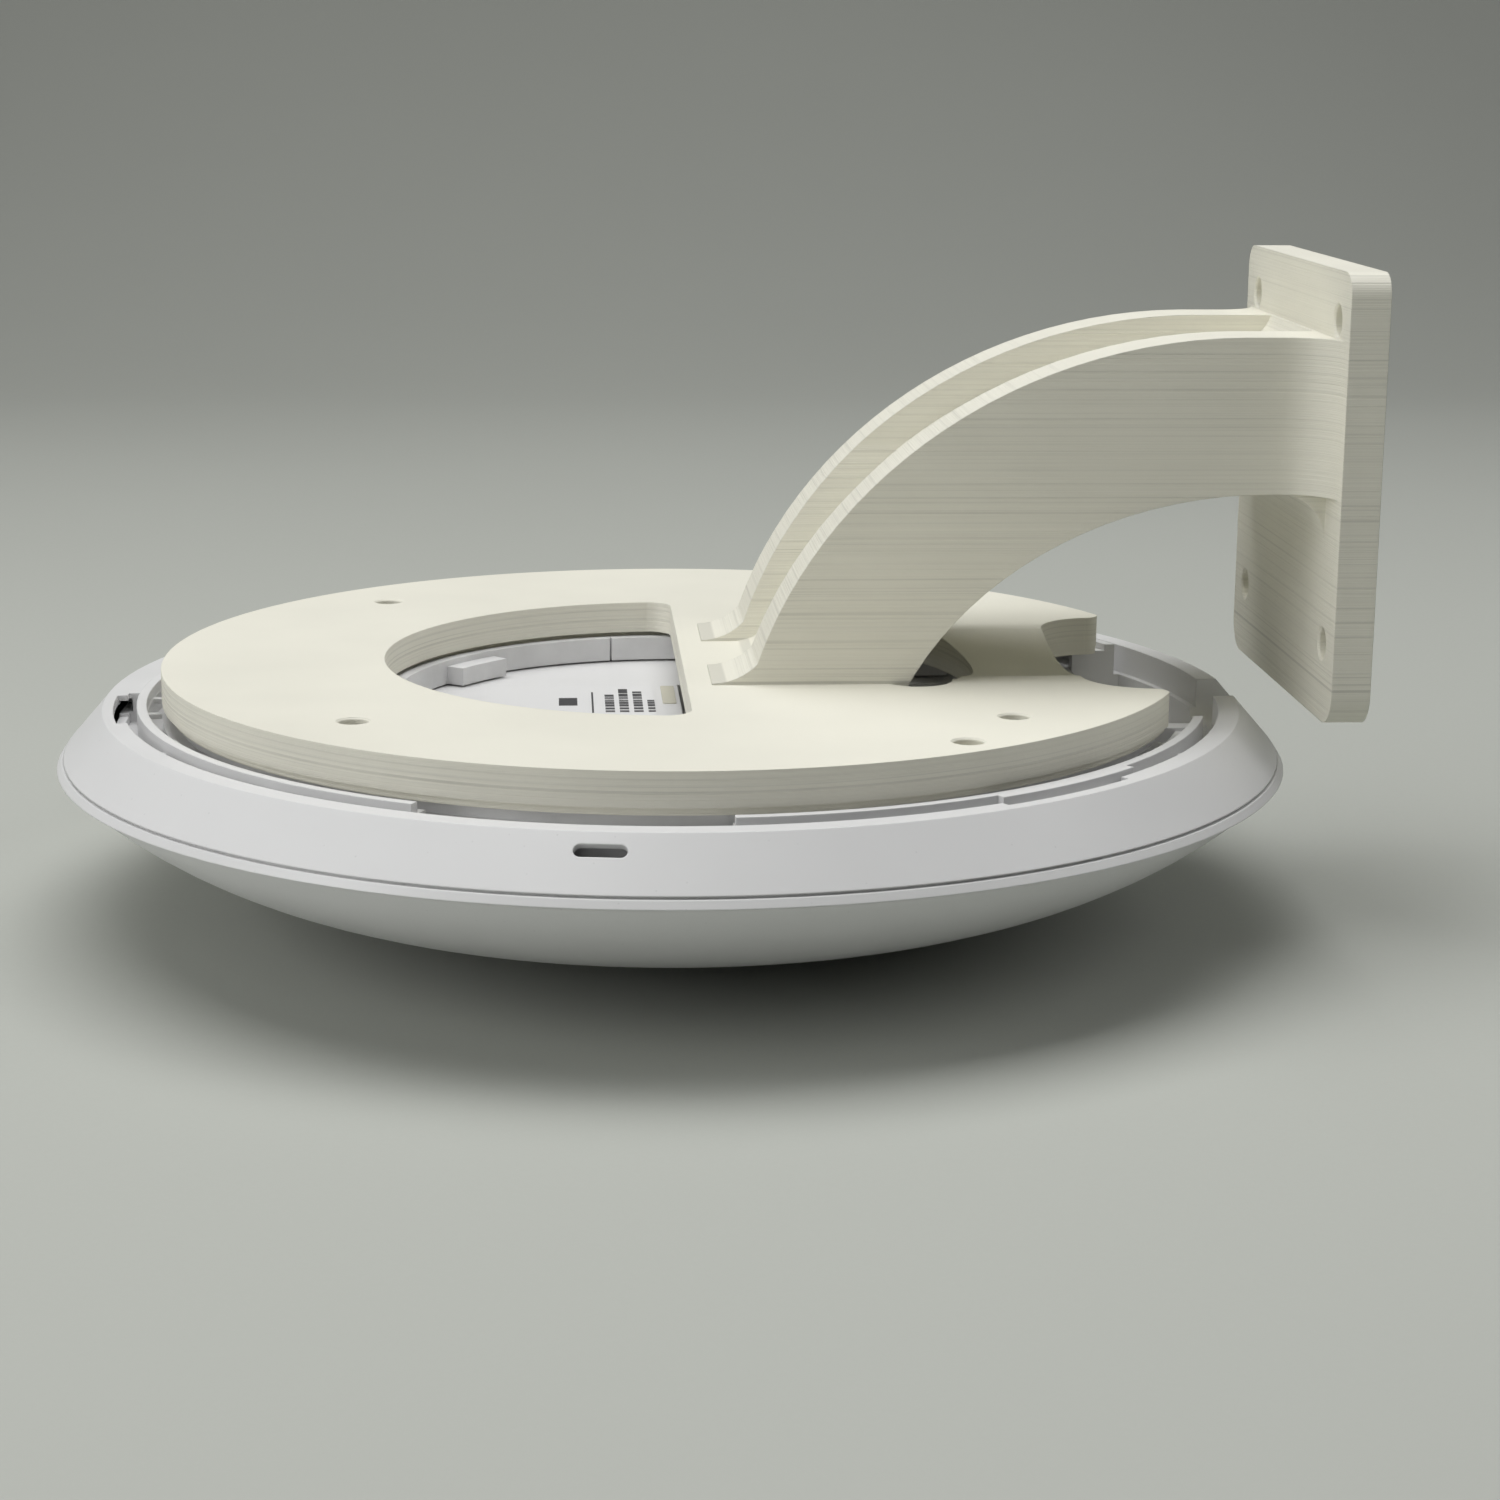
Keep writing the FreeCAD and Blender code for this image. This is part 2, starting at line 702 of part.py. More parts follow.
def tab_centres():
    """Angles of the four tabs when locked: each entry gap's middle, plus the twist."""
    front = (d.front_gap_from + d.front_gap_to) / 2
    side = (d.side_gap_from + d.side_gap_to) / 2
    return [front + d.twist_travel, side + d.twist_travel, d.twist_travel - side, d.twist_travel - front]


def mounting_plate():
    """The ring under the disc: a raised inner wall, four lugs and four tabs at its edge."""
    low, high = d.plate_height, d.disc_bottom
    inner = d.plate_inner_radius
    plate_radius = d.ring_inner_radius - d.body_gap
    tab_top = low + d.tab_thickness
    body = ring(inner, plate_radius, low, high)
    wall = ring(inner, inner + d.plate_wall_width, low, d.plate_wall_top)
    rim_step = ring(d.disc_radius - d.plate_rim_inset, plate_radius + 1, tab_top, high + 1)
    edges = []
    for centre in tab_centres():
        half = d.tab_angle / 2
        reach = d.ring_inner_radius + d.tab_reach
        edges.append(sector(plate_radius - 2, reach, low, tab_top, centre - half, centre + half))
    half = d.lug_angle / 2
    lug_top = low + d.lug_height
    for angle in LUG_ANGLES:
        edges.append(sector(inner - d.lug_depth, inner + 1, low, lug_top, angle - half, angle + half))
    half = d.bay_half_width + d.plate_bay_margin
    outside = d.disc_radius + 5
    bay = box(0, outside, -half, half, low - 1, high + 1)
    mouth = sector(70, outside, low - 1, high + 1, d.plate_mouth_from, d.plate_mouth_to)
    start = d.plate_split_place
    split = box(start, start + d.plate_split_width, inner - d.lug_depth, inner, low, high + 1)
    solid = fuse(cut(body, rim_step), wall, *edges)
    return sub_part("mounting_plate", cut(solid, bay, mouth, split, plate_screw_holes(low, high)))


def screw_spots():
    place_xy = d.disc_hole_place
    return [(-place_xy, -place_xy), (-place_xy, place_xy), (place_xy, -place_xy), (place_xy, place_xy)]


def plate_screw_holes(low, high):
    """Clearance holes with countersinks in the plate's underside."""
    tools = []
    for x, y in screw_spots():
        tools.append(cylinder(d.disc_hole_radius + d.fit_gap, low - 1, high + 1, x, y))
        tools.append(cone(5.5 + d.fit_gap, d.disc_hole_radius + d.fit_gap, low, low + 2.5, x, y))
    return fuse(*tools)


def mounting_plate_screws():
    """Countersunk screws, driven up from below, that bite in the disc's holes."""
    low = d.plate_height
    screws = []
    for x, y in screw_spots():
        shank = cylinder(d.disc_hole_radius, low + 0.5, d.disc_bottom + d.disc_thickness - 3, x, y)
        head = cone(5.3, d.disc_hole_radius, low + 0.1, low + 2.4, x, y)
        cross = [
            box(x - 2.6, x + 2.6, y - 0.5, y + 0.5, low - 1, low + 1.4),
            box(x - 0.5, x + 0.5, y - 2.6, y + 2.6, low - 1, low + 1.4),
        ]
        screws.append(cut(fuse(shank, head), *cross))
    return sub_part("mounting_plate_screws", fuse(*screws))


# ---- rear housing ----------------------------------------------------------------------------------


def base_housing():
    floor_under = d.floor_height - d.floor_thickness
    lap = d.seam_radius - d.shell_wall
    slope = d.lip_run / d.lip_height
    roof = d.lip_height - d.lip_thickness
    lip_back = d.lip_inner_radius + d.lip_wall
    outline = [
        (0, floor_under),
        (lip_back, floor_under),
        (lip_back, roof),
        (lap - slope * roof, roof),
        (lap, 0),
        (d.seam_radius, 0),
        (d.lip_outer_radius, d.lip_height),
        (d.lip_inner_radius, d.lip_height),
        (d.lip_inner_radius, d.groove_floor),
        (d.ring_outer_radius, d.groove_floor),
        (d.ring_outer_radius, d.ring_height),
        (d.ring_lip_radius, d.ring_height),
        (d.ring_lip_radius, shelf_top()),
        (d.ring_inner_radius, shelf_top()),
        (d.ring_inner_radius, undercut_top()),
        (undercut_radius(), undercut_top()),
        (undercut_radius(), d.floor_height),
        (0, d.floor_height),
    ]
    shell = revolved("base_shell", outline)
    solid = fuse(shell, *base_additions(floor_under))
    solid = cut(solid, *base_cuts(floor_under))
    return sub_part("base_housing", solid)


def undercut_top():
    return d.plate_height + d.tab_thickness + d.body_gap + 0.1


def shelf_top():
    return undercut_top() + d.shelf_thickness


def undercut_radius():
    return d.ring_inner_radius + d.tab_reach + d.body_gap


def base_additions(floor_under):
    """Bosses and posts under the floor, the cable bay's walls, stops and the filled lip."""
    pieces = []
    for angle in BOSS_ANGLES:
        pieces.append(cylinder(d.boss_radius + 1, -1.5, floor_under + 1, *on_circle(d.boss_circle, angle)))
    for angle in POST_ANGLES:
        pieces.append(cylinder(d.post_radius, board_top(), floor_under + 1, *on_circle(d.post_circle, angle)))
    wall = d.bay_wall
    half = d.bay_half_width + wall
    pieces.append(box(d.bay_start - wall, d.bay_end + wall, -half, half, d.bay_floor - wall, floor_under + 1))
    low = d.trench_floor - wall
    step = box(d.bay_end, d.trench_start, -half, half, low, floor_under + 1)
    wide = box(d.trench_start - wall, d.seam_radius, -half, d.trench_far_side + wall, low, floor_under + 1)
    pieces += [step, common(wide, cylinder(d.lip_inner_radius + d.lip_wall, -20, 20)), notch_liner()]
    pieces.append(common(trench_ribs(), cylinder(d.ring_outer_radius, -20, 20)))
    pieces.append(sector(d.ring_lip_radius + 0.5, d.lip_inner_radius + 1, 3, d.lip_height, 150, 179.5))
    jog = sector(d.ring_outer_radius - 1, d.ring_outer_radius + 1.6, 3, d.ring_height, -60.2, -41.8)
    pieces += [jog, mirrored(jog)]
    for centre in tab_centres():
        edge = centre + d.tab_angle / 2 + 0.6
        inner = d.ring_inner_radius + 0.05
        pieces.append(sector(inner, d.ring_outer_radius - 1, 3, undercut_top() + 0.5, edge, edge + 2))
    for angle in RIB_ANGLES:
        pieces.append(sector(d.ring_outer_radius - 1, d.lip_inner_radius + 1, 3, 7.4, angle, angle + 0.8))
    return pieces


def notch_liner():
    """Solid walls around the cable notch, inside the hollow lip."""
    inset = d.shell_wall / 2
    half = d.notch_half_width + d.notch_liner
    top = d.lip_height - inset
    block = box(d.lip_inner_radius + 1, d.seam_radius, -half, half, 0, top)
    return common(block, cone(d.seam_radius - inset, d.lip_outer_radius - inset, 0, top))


def trench_ribs():
    """Ribs along both sides of the trench, low enough to pass under the disc."""
    top = d.disc_bottom - d.body_gap
    near, far = d.bay_half_width, d.trench_far_side
    return fuse(
        box(d.trench_start, d.seam_radius, -near - d.trench_rib, -near, 2.5, top),
        box(d.trench_start, d.seam_radius, far, far + d.trench_rib, 2.5, top),
    )


def base_cuts(floor_under):
    """Entry gaps for the tabs, the cable bay and trench, notch, slots, screw holes and port holes."""
    top = d.ring_height + 2
    gap_radius = undercut_radius()
    tools = []
    inside = d.ring_inner_radius - 10
    floor = d.floor_height
    front = sector(inside, d.ring_outer_radius + 0.5, floor, top, d.front_gap_from, d.front_gap_to)
    side = sector(inside, gap_radius, floor, top, d.side_gap_from, d.side_gap_to)
    tools += [front, mirrored(front), side, mirrored(side)]
    tools += [sector(inside, gap_radius - 0.1, floor, top, *cell) for cell in LEFT_CELLS]
    groove = sector(d.ring_outer_radius + 1.6, d.lip_inner_radius + 1.7, 4.2, top, -60.7, -44.8)
    tools += [groove, mirrored(groove)]
    half = d.bay_half_width
    tools.append(box(d.bay_start, d.bay_end, -half, half, d.bay_floor, top))
    tools.append(box(d.bay_end - 1, d.trench_start + 1, -half, half, d.trench_floor, top))
    trench = box(d.trench_start, d.seam_radius, -half, d.trench_far_side, d.trench_floor, top)
    tools.append(common(trench, cylinder(d.lip_inner_radius - 1.4, -20, 20)))
    tools.append(rim_cable_notch())
    tools += left_pocket()
    tools.append(lock_slot())
    for angle in BOSS_ANGLES:
        spot = on_circle(d.boss_circle, angle)
        tools.append(cylinder(1.5, -5, 5, *spot))
        tools.append(cylinder(3.3, 1.0, 5, *spot))
    for angle in POST_ANGLES:
        tools.append(cylinder(1.2, board_top() - 1, board_top() + 7, *on_circle(d.post_circle, angle)))
    tools += port_holes()
    tools += drain_window()
    return tools


def rim_cable_notch():
    """The round-bottomed notch where the cable leaves through the rear lip."""
    half, corner = d.notch_half_width, d.notch_corner
    floor = d.notch_floor
    pieces = [
        box(d.ring_outer_radius - 2, d.seam_radius + 2, -half, half, floor + corner, 14),
        box(d.ring_outer_radius - 2, d.seam_radius + 2, -half + corner, half - corner, floor, 14),
    ]
    for y in (-half + corner, half - corner):
        pieces.append(cylinder_x(corner, d.ring_outer_radius - 2, d.seam_radius + 2, y, floor + corner))
    return fuse(*pieces)


def left_pocket():
    """A pocket in the rear lip with a small square hole in its end wall."""
    pocket = sector(d.lip_inner_radius - 1.7, d.lip_inner_radius + 2, 4.6, 14, 180.6, 194)
    hole = box(-d.lip_inner_radius - 1.8, -d.lip_inner_radius + 0.6, -4, 9, 5.2, 7.8)
    return [pocket, hole]


def lock_slot():
    """The security lock's slot, cut square to the sloping wall."""
    half_length = d.lock_slot_length / 2
    half_height = d.lock_slot_height / 2
    straight = half_length - half_height
    middle = box(-straight, straight, -3, 3, -half_height, half_height)
    ends = [cylinder_y(half_height, -3, 3, side * straight, 0) for side in (-1, 1)]
    slot = fuse(middle, *ends)
    share = 0.7  # how far up the wall the slot sits
    run = d.seam_radius - d.lip_outer_radius
    wall_radius = d.seam_radius - run * share
    lean = math.degrees(math.atan2(run.value, d.lip_height.value))
    turn = Rotation(Vector(0, 0, 1), LOCK_SLOT_ANGLE) * Rotation(Vector(1, 0, 0), -lean)
    x, y = on_circle(wall_radius, LOCK_SLOT_ANGLE - 90)
    return place(slot, x, y, d.lip_height * share, tuple(turn.Axis), math.degrees(turn.Angle))


def port_holes():
    """Openings in the bay's inner wall for the network jack, the power jack and the reset button."""
    wall0, wall1 = d.bay_start - d.bay_wall - 1, d.bay_start + 1
    return [
        box(wall0, wall1, -17.2, -0.8, board_top(), 1.0),
        box(wall0, wall1, 8.8, 18.2, board_top(), -0.3),
        cylinder_x(d.button_radius + d.body_gap, wall0, wall1, 24, button_height()),
    ]


def drain_window():
    """A shallow well in the floor beside the ring."""
    return [sector(d.ring_inner_radius - 7.2, d.ring_inner_radius - 0.6, 2.6, 5, 171, 178.5)]


# ---- dome ------------------------------------------------------------------------------------------


def dome_cover():
    wall = d.dome_wall
    lap = d.seam_radius - d.shell_wall
    tongue_outer = lap - d.fit_gap
    tongue_inner = tongue_outer - d.tongue_width
    lean = d.tongue_height * d.lip_run / d.lip_height
    groove = d.seam_groove_height
    groove_radius = d.seam_radius - d.seam_groove_depth
    crown = sphere_radius(d.dome_shoulder_radius, d.dome_crown_drop - d.dome_shoulder_drop)
    outline = [
        (0, -d.dome_crown_drop, crown),
        (d.dome_shoulder_radius, -d.dome_shoulder_drop, d.dome_shoulder_curve),
        (d.dome_edge_radius, -d.dome_edge_drop),
        (d.rim_radius, -d.rim_depth),
        (d.seam_radius + d.rim_overhang * groove / d.rim_depth, -groove),
        (groove_radius, -groove),
        (groove_radius, 0),
        (tongue_outer, 0),
        (tongue_outer - lean, d.tongue_height),
        (tongue_inner - lean, d.tongue_height),
        (tongue_inner, -d.dome_edge_drop, -(d.dome_shoulder_curve - wall)),
        (d.dome_shoulder_radius - 0.5, wall - d.dome_shoulder_drop, -(crown - wall)),
        (0, wall - d.dome_crown_drop),
    ]
    shell = revolved("dome_shell", outline)
    bosses = []
    holes = []
    for angle in BOSS_ANGLES:
        spot = on_circle(d.boss_circle, angle)
        bosses.append(cylinder(d.boss_radius, -22, -1.5, *spot))
        holes.append(cylinder(1.3, -16, 0, *spot))
    inside = revolved("dome_inside", outline[:4] + [(d.rim_radius, 5), (0, 5)])
    posts = common(fuse(*bosses), inside)
    half = d.notch_half_width + d.notch_liner + d.body_gap
    gap = box(d.lip_inner_radius, d.seam_radius, -half, half, 0, d.tongue_height + 1)
    return sub_part("dome_cover", cut(fuse(shell, posts), gap, *holes))


def sphere_radius(radius, rise):
    return (radius * radius + rise * rise) / (2 * rise)


# ---- inside ----------------------------------------------------------------------------------------


def board_top():
    return d.bay_floor


def button_height():
    return board_top() + 4.0


def inner_disc(radius, z0, z1, clearance=1.0):
    """A disc inside the shell, cut away around the cable bay."""
    half = d.bay_half_width + d.bay_wall + clearance
    start = d.bay_start - d.bay_wall - clearance
    bay = box(start, d.seam_radius, -half, half, size(z0) - 1, size(z1) + 1)
    return cut(cylinder(radius, z0, z1), bay)


def heat_spreader():
    """An aluminium plate under the rear floor with pads that reach down to the hot chips."""
    top = d.spreader_top
    low = top - d.spreader_thickness
    plate = inner_disc(d.inner_radius, low, top)
    pads = [box(-58, -32, -13, 13, board_top() + 2.6, low + 1)]
    for y in (-shield_near() - 24, shield_near() + 2):
        pads.append(box(-18, 4, y, y + 22, board_top() + 3.6, low + 1))
    fins = [box(-80 + 4 * i, -78.6 + 4 * i, -24, 24, low - 4, low + 1) for i in range(4)]
    holes = [cylinder(d.post_radius + 0.4, -20, 5, *on_circle(d.post_circle, a)) for a in POST_ANGLES]
    holes += [cylinder(1.6, -20, 5, *on_circle(d.screw_circle, a)) for a in PILLAR_ANGLES]
    jack = box(-21, 3, -18, 19, low - 1, top + 1)
    return sub_part("heat_spreader", cut(fuse(plate, *pads, *fins), jack, *holes))


def spreader_screws():
    """Short pan-head screws that hold the heat spreader to the rear floor."""
    low = d.spreader_top - d.spreader_thickness
    screws = []
    for angle in PILLAR_ANGLES:
        spot = on_circle(d.screw_circle, angle)
        head = cylinder(2.8, low - 2, low, *spot)
        screws.append(fuse(head, cylinder(1.5, low - 1, d.spreader_top, *spot)))
    return sub_part("spreader_screws", fuse(*screws))


def main_board():
    low = board_top() - d.board_thickness
    board = inner_disc(d.inner_radius, low, board_top())
    holes = [cylinder(1.6, low - 1, board_top() + 1, *on_circle(d.post_circle, a)) for a in POST_ANGLES]
    pipe = cylinder(2.7, low - 1, board_top() + 1, -60, 0)
    return sub_part("main_board", cut(board, pipe, *holes))


def board_screws():
    low = board_top() - d.board_thickness
    screws = []
    for angle in POST_ANGLES:
        spot = on_circle(d.post_circle, angle)
        head = cylinder(2.8, low - 1.9, low, *spot)
        screws.append(fuse(head, cylinder(1.2, low - 1, board_top() + 6.5, *spot)))
    return sub_part("board_screws", fuse(*screws))


def housing_screws():
    screws = []
    for angle in BOSS_ANGLES:
        spot = on_circle(d.boss_circle, angle)
        head = cut(cylinder(2.9, 1.0, 3.2, *spot), cylinder(1.1, 2.0, 4, *spot))
        screws.append(fuse(head, cylinder(1.3, -10, 1.5, *spot)))
    return sub_part("housing_screws", fuse(*screws))


def shield_near():
    """How far from the middle plane the radio shields begin, clear of the cable bay's walls."""
    return d.bay_half_width + 4


def chips():
    """The processor, the memory, the radio shields and their soft thermal pads."""
    top = board_top()
    lid = box(-52, -38, -7, 7, top + 0.6, top + 1.6)
    sub_part("processor", fuse(box(-55, -35, -10, 10, top, top + 0.6), lid))
    memory = [rounded_block(-54, -45, y, y + 13, top, top + 1.0, 0.4) for y in (-27, 14)]
    sub_part("memory_chips", fuse(*memory))
    shields = []
    for y in (-shield_near() - 26, shield_near()):
        can = rounded_block(-20, 6, y, y + 26, top, top + 2.6, 1.0)
        shields.append(cut(can, rounded_block(-19.7, 5.7, y + 0.3, y + 25.7, top - 1, top + 2.3, 0.8)))
    sub_part("radio_shields", fuse(*shields))
    pads = [box(-56, -34, -11, 11, top + 1.6, top + 2.6)]
    pads += [box(-17, 3, y + 3, y + 23, top + 2.6, top + 3.6) for y in (-shield_near() - 26, shield_near())]
    sub_part("thermal_pads", fuse(*pads))


def power_parts():
    """The transformer, inductors and capacitors of the power supply."""
    top = board_top()
    core = fuse(box(-35, -23, 44, 62, top + 1, top + 8), box(-37, -21.5, 46, 56, top, top + 2))
    sub_part("poe_transformer", core)
    coils = []
    for x, y in ((-48, 38), (-58, 38), (-58, 48)):
        coils.append(rounded_block(x - 4, x + 4, y - 4, y + 4, top, top + 3.5, 1.2))
    sub_part("power_inductors", fuse(*coils))
    cans = []
    near = shield_near() + 32
    for x, y in ((-14, near), (-14, near + 10), (-4, near), (-4, near + 10)):
        base = box(x - 3.8, x + 3.8, y - 3.8, y + 3.8, top, top + 0.8)
        cans.append(fuse(cylinder(3.6, top, top + 8.0, x, y), base))
    sub_part("capacitors", fuse(*cans))


def network_jack():
    """The eight-way network socket, open toward the cable bay, with its row of contacts."""
    top = board_top()
    front = d.bay_start - 0.4
    shell = box(-19, front, -16.8, -1.2, top, 0.6)
    middle = -9.0
    port = box(front - 13, front + 1, middle - 5.9, middle + 5.9, top + 2.6, top + 9.4)
    latch = box(front - 13, front + 1, middle - 3.1, middle + 3.1, top + 1.0, top + 3.0)
    sub_part("lan_jack", cut(shell, port, latch))
    contacts = []
    for index in range(8):
        y = middle - 3.57 + 1.02 * index
        arm_in = box(front - 12.5, front - 3, y - 0.15, y + 0.15, top + 7.6, top + 7.9)
        back = box(front - 13, front - 12.2, y - 0.15, y + 0.15, top + 7.6, top + 9.4)
        contacts.append(fuse(arm_in, back))
    sub_part("lan_jack_contacts", fuse(*contacts))


def power_jack():
    top = board_top()
    front = d.bay_start - 0.4
    height = top + 5.2
    block = cut(box(-10, front, 9, 18, top, -0.6), cylinder_x(3.1, front - 9, front + 1, 13.5, height))
    sub_part("power_jack", block)
    sub_part("power_jack_pin", cylinder_x(1.0, front - 9, front - 1, 13.5, height))


def reset_control():
    """The reset button in its hole, and the small switch behind it."""
    start = d.bay_start - d.bay_wall
    height = button_height()
    cap = cylinder_x(d.button_radius, start - 1.2, d.bay_start + 0.6, 24, height)
    stem = cylinder_x(d.stem_radius, start - 3.4, start - 1, 24, height)
    sub_part("reset_button", fuse(cap, stem))
    body = box(start - 7, start - 1.2 - d.button_travel - d.body_gap, 21, 27, board_top(), height + 3)
    bore = cylinder_x(d.stem_radius + 0.08, start - 4.4, start, 24, height)
    sub_part("reset_switch", cut(body, bore))


def antennas():
    """A reflector plate with four long low-band and four short high-band elements below it."""
    top = board_top() - d.antenna_plate_gap
    low = top - d.antenna_plate_thickness
    plate = cylinder(d.antenna_plate_radius, low, top)
    holes = [cylinder(2.4, low - 1, top + 1, -60, 0)]
    feeds = []
    long_elements = []
    short_elements = []
    level = low - d.antenna_drop
    circle = (d.bay_half_width + d.bay_wall + d.feed_clearance) / math.sin(math.radians(45))
    spots = [(circle, angle, level, 34, 12, long_elements) for angle in LONG_ANTENNA_ANGLES]
    spots += [(34, angle, level + 2, 16, 9, short_elements) for angle in SHORT_ANTENNA_ANGLES]
    for circle, angle, depth, length, width, group in spots:
        group.append(element(circle, angle, length, width, low, depth))
        spot = on_circle(size(circle), angle)
        holes.append(cylinder(1.3, low - 1, top + 1, *spot))
        feeds.append(cylinder(0.6, depth + 0.4, board_top() - d.board_thickness, *spot))
    pillars = [on_circle(size(68), angle) for angle in PILLAR_ANGLES]
    for spot in pillars:
        holes.append(cylinder(1.6, low - 1, top + 1, *spot))
    sub_part("antenna_plate", cut(plate, *holes))
    sub_part("antennas_2g", fuse(*long_elements))
    sub_part("antennas_5g", fuse(*short_elements))
    sub_part("antenna_feeds", fuse(*feeds))
    spacers = []
    for spot in pillars:
        head = cylinder(2.8, low - 1.9, low, *spot)
        pillar = cylinder(3.0, top, board_top() - d.board_thickness, *spot)
        spacers.append(fuse(head, pillar, cylinder(1.5, low - 1, top + 1, *spot)))
    sub_part("antenna_plate_screws", fuse(*spacers))


def element(circle, angle, length, width, low, level):
    """One stamped antenna: a flat patch on two legs."""
    circle = size(circle)
    patch = box(circle - width / 2, circle + width / 2, -length / 2, length / 2, level, level + 0.4)
    legs = []
    for side in (-1, 1):
        y = side * (length / 2 - 0.2)
        legs.append(box(circle - 2, circle + 2, y - 0.2, y + 0.2, level, low))
    piece = fuse(patch, *legs)
    return place(piece, 0, 0, 0, (0, 0, 1), angle)


def indicator():
    """The status light under the board and the clear rod that carries it to the dome."""
    low = board_top() - d.board_thickness
    sub_part("status_led", box(-61.7, -58.3, -1.7, 1.7, low + 0.2, low + 1.1))
    sub_part("light_pipe", cylinder(2.0, -25.6, low - 0.4, -60, 0))


def labels():
    """The rating label on the rear floor and a small service sticker beside the bay."""
    low = d.floor_height
    high = low + d.label_thickness
    sub_part("id_label", rounded_block(-38, -3.4, -30, 30, low, high, 2.0))
    sub_part("service_sticker", rounded_block(-1.7, 1.1, 11, 28, low, high, 0.5))


def write_parts():
    """Check every object, then write each sub-part to its own file."""
    document.recompute()
    for item in document.Objects:
        if "Invalid" in item.State or "Error" in item.State:
            raise RuntimeError(f"{item.Name} ({item.Label}) failed: {item.State}")
    os.makedirs("parts", exist_ok=True)
    for piece in sub_parts:
        shape = piece.Shape
        if shape.isNull() or not shape.isValid():
            raise RuntimeError(f"{piece.Label} has no valid shape")
        print(piece.Label, "solids", len(shape.Solids), "volume", round(shape.Volume, 1))
        shape.exportStep(f"parts/{piece.Label}.step")


wall_arm_bracket()
mounting_plate()
mounting_plate_screws()
base_housing()
dome_cover()
housing_screws()
heat_spreader()
spreader_screws()
main_board()
board_screws()
chips()
power_parts()
network_jack()
power_jack()
reset_control()
antennas()
indicator()
labels()
write_parts()
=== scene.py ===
import json
import math

import bpy
from mathutils import Matrix, Vector


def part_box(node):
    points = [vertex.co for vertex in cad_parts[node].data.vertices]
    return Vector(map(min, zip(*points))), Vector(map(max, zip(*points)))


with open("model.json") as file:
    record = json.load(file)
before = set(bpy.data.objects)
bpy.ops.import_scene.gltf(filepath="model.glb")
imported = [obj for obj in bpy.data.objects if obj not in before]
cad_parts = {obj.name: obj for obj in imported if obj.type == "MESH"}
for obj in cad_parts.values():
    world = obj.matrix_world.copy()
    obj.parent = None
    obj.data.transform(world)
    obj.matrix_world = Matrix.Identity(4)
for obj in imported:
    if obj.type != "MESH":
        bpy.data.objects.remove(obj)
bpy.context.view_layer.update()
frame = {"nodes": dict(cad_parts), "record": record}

MM = 0.001

# Places in the row frame, in metres
DISC_AXIS = (-0.1307, 0.0)
FLOOR_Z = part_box("dome_cover")[0][2]
PLATE_FRONT = -7.6 * MM  # just in front of the wall plate's front face
PLATE_SCAR_Z = -38.3 * MM
SCAR_CORE, SCAR_EDGE = 0.18 * MM, 0.32 * MM

# The label's marks, in mm from the disc's axis: spans along x, then along y
BADGE_SPANS = ((-23.0, -19.2), (9.0, 16.5))
RULE_SPANS = ((-16.3, -15.9), (2.0, 22.0))
DASH_START_X, DASH_PITCH, DASH_HALF_HEIGHT = -12.6, 2.9, 0.95
DASH_START_Y = 2.5
DASH_ROWS = (17.0, 22.5, 20.0, 12.0)


# --- Node helpers -----------------------------------------------------------------------------

